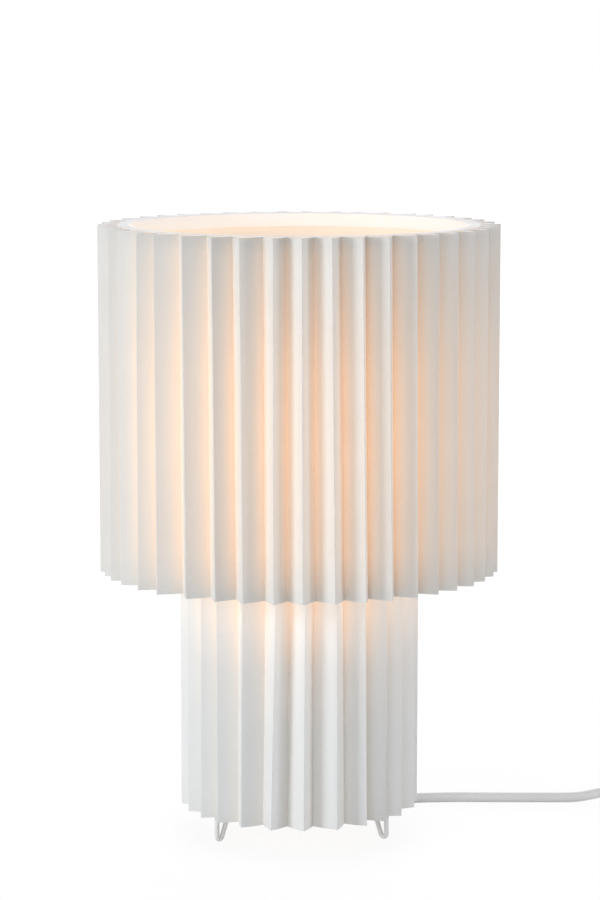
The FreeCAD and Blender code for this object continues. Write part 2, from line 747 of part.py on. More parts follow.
def bulb_cap():
    """Screw cap: a thin shell with a rounded crest for every turn of its thread."""
    pitch = size("bulb_thread_pitch")
    depth = size("bulb_thread_depth")
    crest = size("bulb_cap_radius")
    inner = size("bulb_insulator_radius") + size("thread_gap")
    start = size("bulb_insulator_high")
    top = size("bulb_housing_low")
    outline = [(inner, start), (crest - depth, start)]
    for turn in range(int(size("bulb_thread_turns"))):
        foot = start + turn * pitch
        outline += [(crest - depth, foot + 0.15 * pitch), (crest, foot + 0.4 * pitch),
                    (crest, foot + 0.6 * pitch), (crest - depth, foot + 0.85 * pitch)]
    outline += [(crest - depth, top), (inner, top)]
    corners = [FreeCAD.Vector(across, 0, up) for across, up in outline]
    face = Part.Face(Part.makePolygon(corners + corners[:1]))
    return face.revolve(FreeCAD.Vector(0, 0, 0), FreeCAD.Vector(0, 0, 1), 360)


def bulb_globe():
    """Opal globe: a thin ball cut open where it sits on the housing."""
    radius = size("bulb_globe_radius")
    seat = size("bulb_housing_high")
    centre = FreeCAD.Vector(0, 0, seat + math.sqrt(radius ** 2 - size("bulb_housing_radius") ** 2))
    ball = Part.makeSphere(radius, centre).cut(Part.makeSphere(radius - size("bulb_globe_wall"), centre))
    below = Part.makeBox(2 * radius, 2 * radius, 2 * radius,
                         FreeCAD.Vector(-radius, -radius, seat - 2 * radius))
    return ball.cut(below)


# ---------------------------------------------------------------- mains lead

def make_lead():
    """The lead drops from the grip, runs out to the right, and the rest of it is put away."""
    floor = size("cord_radius")
    lane = size("cord_lane")
    entry_x = size("coil_entry_x")
    entry_y = size("coil_entry_y")
    relief = size("relief_length")
    switch_in = size("switch_start") - relief
    switch_out = size("switch_end") + relief
    level = size("switch_axis_height")
    grip_low = size("grip_low")
    cord_stretch("cord_to_switch", [
        (0, 0, grip_low), (0, 0, grip_low - 30), (2, 3, grip_low - 68), (9, 15, 22), (27, 33, floor),
        (58, 59, floor), (104, lane + 1.5, floor), (150, lane - 1, floor), (194, lane, floor),
        (switch_in - 17, lane, level), (switch_in, lane, level)])
    cord_stretch("cord_to_coil", [
        (switch_out, lane, level), (switch_out + 17, lane, level), (entry_x - 21, lane - 6, floor + 1),
        (entry_x - 7, lane - 22, floor), (entry_x, lane - 44, floor), (entry_x, entry_y, floor)])
    path = coil_path()
    coil = swept(path, floor)
    ratio = coil.Volume / (math.pi * floor ** 2 * path.Length)
    print("cord_coil: length %.1f, least gap %.2f, volume ratio %.4f"
          % (path.Length, gap_to_itself(path, floor), ratio))
    formed("cord_coil", coil)
    upper = floor + size("coil_pitch")
    plug_level = size("plug_axis_height")
    plug_lane = size("plug_lane")
    plug_end = size("plug_face") + size("plug_length") + relief
    cord_stretch("cord_to_plug", [
        (entry_x, entry_y, upper), (entry_x, entry_y - 17, upper), (entry_x - 2, entry_y - 42, 5.5),
        (entry_x - 13, entry_y - 66, floor), (entry_x - 33, plug_lane + 4, floor + 0.5),
        (plug_end + 17, plug_lane, plug_level), (plug_end, plug_lane, plug_level)])


def relief_shape(root, heading):
    """Tapered sleeve that the lead leaves a housing through."""
    return Part.makeCone(size("relief_root_radius"), size("relief_tip_radius"), size("relief_length"),
                         root, heading)


def rounded_box(name, length, width, height, corner, radius):
    """Box with its four upright edges rounded."""
    box = block(name + "_box", length, width, height, corner)
    DOC.recompute()
    rounding = DOC.addObject("Part::Fillet", name)
    rounding.Base = box
    upright = [index + 1 for index, edge in enumerate(box.Shape.Edges)
               if abs(edge.tangentAt(edge.FirstParameter).z) > 0.99]
    rounding.Edges = [(index, size(radius), size(radius)) for index in upright]
    return rounding


def make_switch():
    lane = "Sizes.cord_lane"
    wall = "Sizes.switch_wall"
    inner_length = "Sizes.switch_length - 2 * Sizes.switch_wall"
    inner_width = "Sizes.switch_width - 2 * Sizes.switch_wall"
    low_corner = ("Sizes.switch_start", lane + " - Sizes.switch_width / 2", "0")
    base = rounded_box("switch_base_outside", "Sizes.switch_length", "Sizes.switch_width",
                       "Sizes.switch_axis_height", low_corner, "switch_corner")
    hollow = rounded_box("switch_base_inside", inner_length, inner_width, "Sizes.switch_axis_height",
                         ("Sizes.switch_start + " + wall, lane + " - Sizes.switch_width / 2 + " + wall, wall),
                         "switch_inner_corner")
    screws = [screw_pieces(index, side) for index, side in enumerate(("-", "+"))]
    bosses = [boss for boss, hole, screw in screws]
    holes = [hole for boss, hole, screw in screws]
    shell = joined("switch_base_shell", [less("switch_base_tray", base, hollow)] + bosses)
    keep(less("switch_base_cut", shell, joined("switch_screw_holes", holes)), "switch_base")
    keep(joined("switch_screw_pair", [screw for boss, hole, screw in screws]), "switch_screws")
    top_corner = ("Sizes.switch_start", lane + " - Sizes.switch_width / 2", "Sizes.switch_axis_height")
    lid = rounded_box("switch_cover_outside", "Sizes.switch_length", "Sizes.switch_width",
                      "Sizes.switch_cover_height", top_corner, "switch_corner")
    cavity = rounded_box("switch_cover_inside", inner_length, inner_width,
                         "Sizes.switch_cover_height - Sizes.switch_wall",
                         ("Sizes.switch_start + " + wall, lane + " - Sizes.switch_width / 2 + " + wall,
                          "Sizes.switch_axis_height"), "switch_inner_corner")
    middle = "Sizes.switch_start + Sizes.switch_length / 2"
    window = block("switch_window", "2 * (Sizes.rocker_radius + Sizes.turn_gap)",
                   "Sizes.rocker_width + 2 * Sizes.turn_gap", "Sizes.switch_cover_height",
                   (middle + " - Sizes.rocker_radius - Sizes.turn_gap",
                    lane + " - Sizes.rocker_width / 2 - Sizes.turn_gap", "Sizes.switch_axis_height"))
    ears = [block("switch_ear_%d" % (index + 1), "4 * Sizes.rocker_pin_radius",
                  "Sizes.switch_width / 2 - Sizes.switch_wall - Sizes.rocker_width / 2 - Sizes.turn_gap",
                  "Sizes.rocker_pivot_depth + 2 * Sizes.rocker_pin_radius - Sizes.switch_wall",
                  (middle + " - 2 * Sizes.rocker_pin_radius", start,
                   "Sizes.rocker_pivot - 2 * Sizes.rocker_pin_radius"))
            for index, start in enumerate((lane + " + Sizes.rocker_width / 2 + Sizes.turn_gap",
                                           lane + " - Sizes.switch_width / 2 + Sizes.switch_wall"))]
    lid_hollow = less("switch_cover_hollow", lid, joined("switch_cover_room", [cavity, window]))
    pin = rod("rocker_pin_rod", "Sizes.rocker_pin_radius", "Sizes.switch_width - 2 * Sizes.switch_wall",
              (middle, lane + " - Sizes.switch_width / 2 + Sizes.switch_wall", "Sizes.rocker_pivot"),
              FreeCAD.Vector(0, 1, 0))
    pin_hole = rod("rocker_pin_hole", "Sizes.rocker_pin_radius", "Sizes.switch_width - 2 * Sizes.switch_wall",
                   (middle, lane + " - Sizes.switch_width / 2 + Sizes.switch_wall", "Sizes.rocker_pivot"),
                   FreeCAD.Vector(0, 1, 0))
    keep(less("switch_cover_cut", joined("switch_cover_eared", [lid_hollow] + ears), pin_hole), "switch_cover")
    keep(pin, "rocker_pin")
    formed("switch_rocker", rocker_shape())
    contacts = [block("switch_contact_%d" % (index + 1), "Sizes.contact_width", "Sizes.contact_width",
                      "Sizes.switch_axis_height / 2",
                      (middle + offset, lane + " - Sizes.contact_width / 2", wall))
                for index, offset in enumerate((" - 8 - Sizes.contact_width", " + 8"))]
    keep(joined("switch_contact_pair", contacts), "switch_contacts")
    axis_height = size("switch_axis_height")
    start = FreeCAD.Vector(size("switch_start"), size("cord_lane"), axis_height)
    end = FreeCAD.Vector(size("switch_end"), size("cord_lane"), axis_height)
    formed("switch_relief_in", relief_shape(start, FreeCAD.Vector(-1, 0, 0)))
    formed("switch_relief_out", relief_shape(end, FreeCAD.Vector(1, 0, 0)))


def screw_pieces(index, side):
    """Boss, hole and screw at one end of the switch's lower shell."""
    across = ("Sizes.switch_start + Sizes.switch_length / 2 %s Sizes.switch_screw_spacing / 2" % side)
    boss = rod("screw_boss_%d" % (index + 1), "2.2 * Sizes.switch_screw_radius", "Sizes.switch_axis_height",
               (across, "Sizes.cord_lane", "0"))
    hole = rod("screw_hole_%d" % (index + 1), "Sizes.switch_screw_radius + Sizes.thread_gap",
               "Sizes.switch_axis_height", (across, "Sizes.cord_lane", "0"))
    screw = rod("screw_rod_%d" % (index + 1), "Sizes.switch_screw_radius",
                "Sizes.switch_axis_height - Sizes.switch_wall / 2",
                (across, "Sizes.cord_lane", "Sizes.switch_wall / 2"))
    return boss, hole, screw


def rocker_shape():
    """Rocker: both ends are round about its pin and its top is two flats that meet in the middle."""
    radius = size("rocker_radius")
    width = size("rocker_width")
    depth = size("rocker_pivot_depth")
    tilt = math.radians(size("rocker_tilt"))
    dip = depth - radius * math.sin(tilt)
    end_high = math.asin((dip + radius * math.sin(tilt)) / radius)
    end_low = -math.radians(12.0)
    bottom = radius * math.sin(end_low)

    def rim(angle):
        return FreeCAD.Vector(radius * math.cos(angle), 0, radius * math.sin(angle))

    def mirrored(point):
        return FreeCAD.Vector(-point.x, 0, point.z)

    edges = [
        Part.Arc(rim(end_low), rim((end_low + end_high) / 2.0), rim(end_high)).toShape(),
        Part.LineSegment(rim(end_high), FreeCAD.Vector(0, 0, dip)).toShape(),
        Part.LineSegment(FreeCAD.Vector(0, 0, dip), mirrored(rim(end_high))).toShape(),
        Part.Arc(mirrored(rim(end_high)), mirrored(rim((end_low + end_high) / 2.0)),
                 mirrored(rim(end_low))).toShape(),
        Part.LineSegment(mirrored(rim(end_low)), FreeCAD.Vector(-radius / 2.0, 0, bottom)).toShape(),
        Part.LineSegment(FreeCAD.Vector(-radius / 2.0, 0, bottom),
                         FreeCAD.Vector(radius / 2.0, 0, bottom)).toShape(),
        Part.LineSegment(FreeCAD.Vector(radius / 2.0, 0, bottom), rim(end_low)).toShape()]
    slab = Part.Face(Part.Wire(edges)).extrude(FreeCAD.Vector(0, width, 0))
    slab.translate(FreeCAD.Vector(0, -width / 2.0, 0))
    bore = Part.makeCylinder(size("rocker_pin_radius") + size("thread_gap"), width,
                             FreeCAD.Vector(0, -width / 2.0, 0), FreeCAD.Vector(0, 1, 0))
    slab = slab.cut(bore)
    slab.rotate(FreeCAD.Vector(0, 0, 0), FreeCAD.Vector(0, 1, 0), size("rocker_tilt"))
    slab.translate(FreeCAD.Vector(size("switch_start") + size("switch_length") / 2.0, size("cord_lane"),
                                  size("rocker_pivot")))
    return slab


def make_plug():
    """Flat two-pin plug lying on its broad side, with its pins to -X."""
    level = size("plug_axis_height")
    lane = size("plug_lane")
    face = size("plug_face")
    back = face + size("plug_length")
    wide = size("plug_width") / 2.0
    nose = size("plug_nose_width") / 2.0
    shoulder = face + size("plug_length") / 3.0
    tail = back - size("plug_length") / 3.0
    thick = size("plug_thickness")
    tail_half = size("relief_root_radius") + size("seat_gap")
    outline = [(face, -nose), (shoulder, -wide), (tail, -wide), (back, -tail_half), (back, tail_half),
               (tail, wide), (shoulder, wide), (face, nose)]
    corners = [FreeCAD.Vector(along, lane + across, level - thick / 2.0) for along, across in outline]
    slab = Part.Face(Part.makePolygon(corners + corners[:1])).extrude(FreeCAD.Vector(0, 0, thick))
    rims = [edge for edge in slab.Edges if abs(edge.tangentAt(edge.FirstParameter).z) < 0.01
            and edge.BoundBox.XMax > face + 0.1 and edge.BoundBox.XMin < back - 0.1]
    formed("plug_body", slab.makeFillet(size("plug_corner") / 2.0, rims))
    pins = []
    for side in (-0.5, 0.5):
        root = FreeCAD.Vector(face, lane + side * size("pin_spacing"), level)
        along = FreeCAD.Vector(-1, 0, 0)
        pin = Part.makeCylinder(size("pin_radius"), size("pin_length"), root, along)
        tip = [edge for edge in pin.Edges if edge.BoundBox.XMax < face - size("pin_length") + 0.1]
        pins.append(pin.makeChamfer(size("pin_tip"), tip))
    formed("plug_pins", Part.makeCompound(pins))
    formed("plug_relief", relief_shape(FreeCAD.Vector(back, lane, level), FreeCAD.Vector(1, 0, 0)))


# ---------------------------------------------------------------- making, checking and writing

def check_document():
    for item in DOC.Objects:
        faults = [state for state in item.State if state in ("Invalid", "Error")]
        if faults:
            raise RuntimeError("%s is %s" % (item.Label, ", ".join(faults)))
    for piece in SUBPARTS:
        if piece.Shape.isNull() or not piece.Shape.isValid():
            raise RuntimeError("%s has no valid shape" % piece.Label)


def write_pieces():
    os.makedirs("parts", exist_ok=True)
    for piece in SUBPARTS:
        piece.Shape.exportStep("parts/%s.step" % piece.Label)
    print("%d pieces written" % len(SUBPARTS))


fill_sheet()
make_stand()
make_base()
make_lampholder()
make_shade()
make_bulb()
make_lead()
make_switch()
make_plug()
DOC.recompute()
check_document()
write_pieces()
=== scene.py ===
import math
import random

import bpy
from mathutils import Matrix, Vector


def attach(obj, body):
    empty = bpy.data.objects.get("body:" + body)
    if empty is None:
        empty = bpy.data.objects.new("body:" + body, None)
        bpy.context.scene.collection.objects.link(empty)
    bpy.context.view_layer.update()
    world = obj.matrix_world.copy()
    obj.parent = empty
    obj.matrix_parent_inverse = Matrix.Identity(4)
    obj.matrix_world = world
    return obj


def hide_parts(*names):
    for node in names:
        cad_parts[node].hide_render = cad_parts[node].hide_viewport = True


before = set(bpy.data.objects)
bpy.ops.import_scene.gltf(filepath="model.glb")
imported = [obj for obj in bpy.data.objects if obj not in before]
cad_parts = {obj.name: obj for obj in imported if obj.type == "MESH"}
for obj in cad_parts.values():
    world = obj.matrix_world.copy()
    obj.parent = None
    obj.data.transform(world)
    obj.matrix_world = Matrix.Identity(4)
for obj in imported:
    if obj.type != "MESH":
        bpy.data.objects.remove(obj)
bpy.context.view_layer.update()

scene = bpy.context.scene
scene.view_settings.view_transform = "Standard"
MM = 0.001

# Outer radius, depth of the folds, lowest and highest height, and count of folds of each drum.
SHADE_RADIUS, SHADE_DEPTH, SHADE_LOW, SHADE_TOP, SHADE_FOLDS = 0.140, 0.015, 0.1885, 0.4293, 43
BASE_RADIUS, BASE_DEPTH, BASE_LOW, BASE_TOP, BASE_FOLDS = 0.084, 0.0135, 0.020, 0.186, 25

# ---------------------------------------------------------------- camera

camera = bpy.data.objects.new("camera", bpy.data.cameras.new("camera"))
scene.collection.objects.link(camera)
LOOKS_DOWN = math.radians(8.35)
camera.location = (0.00075, -2.029, 0.569)
camera.rotation_euler = (math.radians(90.0) - LOOKS_DOWN, 0.0, 0.0)
camera.data.lens = 117.4
scene.camera = camera


# ---------------------------------------------------------------- mesh helpers

def add_mesh(name, verts, faces, uvs=None, sharp=None):
    """New object from lists. uvs holds one (u, v) a face corner, in face order. sharp is in degrees."""
    mesh = bpy.data.meshes.new(name)
    mesh.from_pydata([tuple(v) for v in verts], [], faces)
    mesh.polygons.foreach_set("use_smooth", [True] * len(mesh.polygons))
    if uvs is not None:
        layer = mesh.uv_layers.new(name="Along")
        layer.data.foreach_set("uv", [number for pair in uvs for number in pair])
    mesh.validate()
    mesh.update()
    if sharp is not None:
        mesh.set_sharp_from_angle(angle=math.radians(sharp))
    piece = bpy.data.objects.new(name, mesh)
    scene.collection.objects.link(piece)
    return piece


def smoothed(share):
    share = min(max(share, 0.0), 1.0)
    return share * share * (3.0 - 2.0 * share)


LATHE_SEGMENTS = 256


def lathe(name, profile, wobble):
    """Closed profile of (radius, height) turned about the lamp's axis. wobble gives a radius's stray."""
    count = len(profile)
    verts = []
    for step in range(LATHE_SEGMENTS):
        azimuth = 2.0 * math.pi * step / LATHE_SEGMENTS
        for radius, height in profile:
            radius += wobble(radius, azimuth)
            verts.append((radius * math.sin(azimuth), -radius * math.cos(azimuth), height))
    faces = []
    for step in range(LATHE_SEGMENTS):
        for index in range(count):
            nxt, after = (step + 1) % LATHE_SEGMENTS, (index + 1) % count
            faces.append((step * count + index, nxt * count + index,
                          nxt * count + after, step * count + after))
    return add_mesh(name, verts, faces, sharp=40.0)


# ---------------------------------------------------------------- cords

def spline_points(name, route):
    """Points along the NURBS curve whose control points are the route's."""
    curve = bpy.data.curves.new(name, "CURVE")
    curve.dimensions = "3D"
    curve.resolution_u = 8
    line = curve.splines.new("NURBS")
    line.points.add(len(route) - 1)
    for point, place in zip(line.points, route):
        point.co = (*place, 1.0)
    line.order_u = 3
    line.use_endpoint_u = True
    holder = bpy.data.objects.new(name, curve)
    scene.collection.objects.link(holder)
    bpy.context.view_layer.update()
    mesh = bpy.data.meshes.new_from_object(holder)
    points = [vertex.co.copy() for vertex in mesh.vertices]
    bpy.data.objects.remove(holder)
    bpy.data.curves.remove(curve)
    bpy.data.meshes.remove(mesh)
    return points


def tube(name, points, radius, sides=16):
    """Round tube along points. u goes once round, v is the length along it in metres."""
    verts, rings, lengths = [], len(points), [0.0]
    for before, after in zip(points, points[1:]):
        lengths.append(lengths[-1] + (after - before).length)
    across = None
    for index, point in enumerate(points):
        ahead = points[min(index + 1, rings - 1)] - points[max(index - 1, 0)]
        ahead.normalize()
        if across is None:
            across = ahead.orthogonal().normalized()
        across = (across - ahead * across.dot(ahead)).normalized()
        side = ahead.cross(across)
        for corner in range(sides):
            turn = 2.0 * math.pi * corner / sides
            verts.append(point + radius * (math.cos(turn) * across + math.sin(turn) * side))
    faces, uvs = [], []
    for ring in range(rings - 1):
        for corner in range(sides):
            nxt = (corner + 1) % sides
            faces.append((ring * sides + corner, ring * sides + nxt,
                          (ring + 1) * sides + nxt, (ring + 1) * sides + corner))
            left, right = corner / sides, (corner + 1) / sides
            uvs += [(left, lengths[ring]), (right, lengths[ring]),
                    (right, lengths[ring + 1]), (left, lengths[ring + 1])]
    for ring, corners in ((0, range(sides - 1, -1, -1)), (rings - 1, range(sides))):
        faces.append(tuple(ring * sides + corner for corner in corners))
        uvs += [(corner / sides, lengths[ring]) for corner in corners]
    return add_mesh(name, verts, faces, uvs=uvs, sharp=60.0)


CORD_RADIUS = 3.5 * MM
TO_SWITCH = [(0, 0, 122.25), (0, 0, 92.25), (2, 3, 54.25), (9, 15, 22), (27, 33, 3.5),
             (58, 61.5, 3.5), (104, 68, 3.5), (150, 67, 3.5), (187, 67, 3.5), (206, 67, 3.5),
             (225, 67, 8), (238, 67, 8)]
TO_COIL = [(334, 67, 8), (351, 67, 8), (369, 61, 4.5), (383, 45, 3.5), (390, 23, 3.5)]
TO_PLUG = [(390, -23, 11.1), (388, -48, 5.5), (377, -72, 3.5), (357, -88, 4), (331, -92, 6.85),
           (314, -92, 6.85)]
COIL_CENTRE, COIL_RADIUS, COIL_PITCH = (343.0, -6.0), 47.0, 7.6
COIL_TURNS, LAYER_TURNS, CLIMB_TURNS, POINTS_A_TURN = 5.0, 2.25, 0.5, 16


def coil_points():
    """Control points of the put-away coil. The curve cuts inside them, so they stand out a little."""
    spread = 1.0 / (0.75 + 0.25 * math.cos(2.0 * math.pi / POINTS_A_TURN))
    points = []
    for step in range(int(COIL_TURNS * POINTS_A_TURN) + 1):
        turns = step / POINTS_A_TURN
        radius = spread * COIL_RADIUS - COIL_PITCH * min(turns, COIL_TURNS - turns)
        lift = COIL_PITCH * smoothed((turns - LAYER_TURNS) / CLIMB_TURNS)
        angle = -2.0 * math.pi * turns
        points.append((COIL_CENTRE[0] + radius * math.cos(angle),
                       COIL_CENTRE[1] + radius * math.sin(angle), 3.5 + lift))
    return points


RELIEF_ROOT, RELIEF_TIP, RELIEF_STEPS, RELIEF_SIDES = 5.5, 4.05, 45, 40
RIBS, GROOVE, PLAIN_ROOT, PLAIN_TIP = 5, 0.55, 0.12, 0.9
TIP_ROUNDING, ROUNDED_FROM = 0.25, 0.96


def relief(name, root, tip, side, height):
    """Tapered, ribbed strain relief on the lead, from its root to its tip along x, in millimetres."""
    profile = []
    for step in range(RELIEF_STEPS + 1):
        share = step / RELIEF_STEPS
        radius = RELIEF_ROOT + (RELIEF_TIP - RELIEF_ROOT) * share
        if PLAIN_ROOT <= share <= PLAIN_TIP:
            radius -= GROOVE * max(0.0, math.sin(math.pi * (2.0 * RIBS * share - 1.0)))
        if share > ROUNDED_FROM:
            radius -= TIP_ROUNDING * (share - ROUNDED_FROM) / (1.0 - ROUNDED_FROM)
        profile.append((radius, root + (tip - root) * share))
    verts = [(root * MM, side * MM, height * MM)]
    for radius, place in profile:
        for corner in range(RELIEF_SIDES):
            turn = 2.0 * math.pi * corner / RELIEF_SIDES
            verts.append((place * MM, (side + radius * math.cos(turn)) * MM,
                          (height + radius * math.sin(turn)) * MM))
    verts.append((tip * MM, side * MM, height * MM))
    faces, rings = [], len(profile)
    for corner in range(RELIEF_SIDES):
        nxt = (corner + 1) % RELIEF_SIDES
        faces.append((0, 1 + nxt, 1 + corner))
        for ring in range(rings - 1):
            low, high = 1 + ring * RELIEF_SIDES, 1 + (ring + 1) * RELIEF_SIDES
            faces.append((low + corner, low + nxt, high + nxt, high + corner))
        last = 1 + (rings - 1) * RELIEF_SIDES
        faces.append((last + corner, last + nxt, len(verts) - 1))
    if tip < root:
        faces = [tuple(reversed(face)) for face in faces]
    piece = add_mesh(name, verts, faces, sharp=50.0)
    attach(piece, "stand")
    return piece


def in_metres(route):
    return [tuple(number * MM for number in point) for point in route]


first_path = spline_points("route_in", in_metres(TO_SWITCH))
cord_in = tube("cord_in", first_path, CORD_RADIUS)
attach(cord_in, "stand")
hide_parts("cord_to_switch")
second_path = spline_points("route_out", in_metres(TO_COIL + coil_points() + TO_PLUG))
cord_out = tube("cord_out", second_path, CORD_RADIUS)
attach(cord_out, "stand")
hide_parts("cord_to_coil", "cord_coil", "cord_to_plug")
relief_in = relief("relief_in", 258, 238, 67, 8)
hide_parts("switch_relief_in")
relief_out = relief("relief_out", 314, 334, 67, 8)
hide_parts("switch_relief_out")
relief_plug = relief("relief_plug", 294, 314, -92, 6.85)
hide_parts("plug_relief")


# ---------------------------------------------------------------- node helpers

class Nodes:
    """Short calls for building one material's node tree."""

    def __init__(self, name):
        self.material = bpy.data.materials.new(name)
        self.material.use_nodes = True
        self.tree = self.material.node_tree
        self.tree.nodes.clear()
        self.output = self.new("ShaderNodeOutputMaterial")
        self.shader = self.new("ShaderNodeBsdfPrincipled")
        self.link(self.shader.outputs[0], self.output.inputs["Surface"])
        self.place = self.new("ShaderNodeTexCoord").outputs["Object"]

    def new(self, kind, **settings):
        node = self.tree.nodes.new(kind)
        for key, value in settings.items():
            setattr(node, key, value)
        return node

    def link(self, source, target):
        self.tree.links.new(source, target)

    def put(self, target, value):
        if isinstance(value, bpy.types.NodeSocket):
            self.link(value, target)
        else:
            target.default_value = value

    def math(self, kind, *values):
        node = self.new("ShaderNodeMath", operation=kind)
        for target, value in zip(node.inputs, values):
            self.put(target, value)
        return node.outputs[0]

    def span(self, value, low, high, start=0.0, end=1.0, kind="SMOOTHSTEP"):
        node = self.new("ShaderNodeMapRange", interpolation_type=kind)
        for target, number in zip(node.inputs, (value, low, high, start, end)):
            self.put(target, number)
        return node.outputs[0]

    def ramp(self, value, stops):
        node = self.new("ShaderNodeValToRGB")
        ramp = node.color_ramp
        for index, (position, colour) in enumerate(stops):
            if index < 2:
                stop = ramp.elements[index]
                stop.position = position
            else:
                stop = ramp.elements.new(position)
            stop.color = (*colour, 1.0)
        self.put(node.inputs[0], value)
        return node.outputs[0]

    def mix(self, share, first, second, kind="MIX"):
        node = self.new("ShaderNodeMix", data_type="RGBA", blend_type=kind)
        self.put(node.inputs[0], share)
        self.put(node.inputs[6], first if isinstance(first, bpy.types.NodeSocket) else (*first, 1.0))
        self.put(node.inputs[7], second if isinstance(second, bpy.types.NodeSocket) else (*second, 1.0))
        return node.outputs[2]

    def noise(self, scale, detail=2.0, place=None, rough=0.5):
        node = self.new("ShaderNodeTexNoise")
        self.put(node.inputs["Vector"], place or self.place)
        node.inputs["Scale"].default_value = scale
        node.inputs["Detail"].default_value = detail
        node.inputs["Roughness"].default_value = rough
        return node.outputs[0]

    def bump(self, height, strength, distance):
        node = self.new("ShaderNodeBump")
        node.inputs["Strength"].default_value = strength
        node.inputs["Distance"].default_value = distance
        self.link(height, node.inputs["Height"])
        self.link(node.outputs[0], self.shader.inputs["Normal"])

    def set(self, **values):
        for key, value in values.items():
            self.put(self.shader.inputs[key.replace("_", " ")], value)


def tint(colour, change):
    return tuple(min(max(part * change, 0.0), 1.0) for part in colour)


# ---------------------------------------------------------------- materials

SHADE_PAPER, BASE_PAPER = (0.81, 0.8, 0.775), (0.88, 0.885, 0.88)
# Colours that tint the paper's valleys darker and warmer, as painted shade, and its crests paler, as a
# painted highlight.
VALLEY_PAINTED_SHADE, CREST_PAINTED_HIGHLIGHT = (1.0, 0.97, 0.935), (0.9, 0.895, 0.885)
# The bulb's glow is painted weaker on the side of the drums that faces the key lamp, where that lamp's
# light is strongest.
GLOW_DIMMED_SIDE = math.radians(-76.0)   # side of the drums that shows the least of the bulb's light
GLOW_CREST, GLOW_FACE, GLOW_VALLEY = (0.34, 0.16, 0.05), (0.6, 0.31, 0.11), (1.0, 0.4, 0.08)


def paper(name, colour, peak, depth, low, high, glow, amount):
    """Pleated paper: fibres, faint mottling, a painted highlight along the crests, painted warm shade
    deep in the folds and the bulb's warm light coming through.

    peak and depth are the drum's radius and how deep its folds are, low and high its lowest and highest
    height. glow is a list of (share of the height, strength of the light there)."""
    n = Nodes(name)
    flat = n.new("ShaderNodeVectorMath", operation="MULTIPLY")
    n.link(n.place, flat.inputs[0])
    flat.inputs[1].default_value = (1.0, 1.0, 0.0)
    length = n.new("ShaderNodeVectorMath", operation="LENGTH")
    n.link(flat.outputs[0], length.inputs[0])
    inward = n.span(length.outputs["Value"], peak, peak - depth, kind="LINEAR")
    split = n.new("ShaderNodeSeparateXYZ")
    n.link(n.place, split.inputs[0])
    height = n.span(split.outputs["Z"], low, high, kind="LINEAR")

    mottling = n.noise(38.0, 3.0)
    fibres = n.new("ShaderNodeMapping")
    fibres.inputs["Scale"].default_value = (1.0, 1.0, 0.35)
    n.link(n.place, fibres.inputs[0])
    grain = n.noise(1500.0, 4.0, fibres.outputs[0], 0.6)
    tone = n.mix(mottling, tint(colour, 0.975), tint(colour, 1.025))
    tone = n.mix(n.span(grain, 0.35, 0.7, 0.0, 0.18), tone, tint(colour, 0.86))
    # Deep in the folds the paper is tinted darker and warmer: painted shade.
    valley_shade = n.mix(n.span(inward, 0.25, 0.95), (1.0, 1.0, 1.0), VALLEY_PAINTED_SHADE)
    tone = n.mix(1.0, tone, valley_shade, "MULTIPLY")
    # Paler tone along the crests: a painted highlight.
    tone = n.mix(n.span(inward, 0.0, 0.035, 0.3, 0.0), tone, CREST_PAINTED_HIGHLIGHT)
    n.set(Base_Color=tone, Roughness=n.span(grain, 0.2, 0.8, 0.82, 0.95),
          Specular_IOR_Level=0.25)
    n.bump(n.math("ADD", grain, n.math("MULTIPLY", mottling, 1.5)), 0.22, 0.00025)

    through = n.ramp(inward, [(0.0, GLOW_CREST), (0.5, GLOW_FACE), (0.85, GLOW_VALLEY)])
    rise = n.ramp(height, [(share, (level, level, level)) for share, level in glow])
    # Painted glow made weaker towards the key lamp's side.
    toward = n.new("ShaderNodeVectorMath", operation="DOT_PRODUCT")
    n.link(flat.outputs[0], toward.inputs[0])
    toward.inputs[1].default_value = (math.sin(GLOW_DIMMED_SIDE) / peak, -math.cos(GLOW_DIMMED_SIDE) / peak, 0.0)
    washed = n.span(toward.outputs["Value"], 0.86, 0.985, amount, 0.2 * amount)
    n.set(Emission_Color=through, Emission_Strength=n.math("MULTIPLY", rise, washed))
    return n.material


def plain(name, colour, rough, metal=0.0, scale=900.0, vary=0.03, bump=0.08, coat=0.0, stretch=None,
          specular=0.5):
    """Moulded, painted or bare surface: fine grain over soft blotches, in colour and gloss."""
    n = Nodes(name)
    place = n.place
    if stretch:
        mapping = n.new("ShaderNodeMapping")
        mapping.inputs["Scale"].default_value = stretch
        n.link(n.place, mapping.inputs[0])
        place = mapping.outputs[0]
    grain = n.noise(scale, 3.0, place)
    soft = n.noise(60.0, 2.0)
    tone = n.mix(soft, tint(colour, 1.0 - vary), tint(colour, 1.0 + vary))
    tone = n.mix(n.span(grain, 0.4, 0.75, 0.0, 0.35), tone, tint(colour, 1.0 - 2.0 * vary))
    spread = min(0.12, rough * 0.35)
    gloss = n.span(n.math("ADD", grain, soft), 0.7, 1.3, rough - spread, rough + spread)
    n.set(Base_Color=tone, Roughness=gloss, Metallic=metal, Coat_Weight=coat, Coat_Roughness=0.12,
          Specular_IOR_Level=specular)
    n.bump(grain, bump, 0.0002)
    return n


def lit(name, colour, rough, glow, low, high, levels, amount, **more):
    """A plain surface with light painted on as a glow that changes with height, mostly the bulb's
    shining on or through it: levels are (share of height, strength).
    """
    n = plain(name, colour, rough, **more)
    split = n.new("ShaderNodeSeparateXYZ")
    n.link(n.place, split.inputs[0])
    height = n.span(split.outputs["Z"], low, high, kind="LINEAR")
    level = n.ramp(height, [(share, (value, value, value)) for share, value in levels])
    n.set(Emission_Color=(*glow, 1.0), Emission_Strength=n.math("MULTIPLY", level, amount))
    return n


YARNS, CROSSINGS_A_METRE = 12.0, 430.0


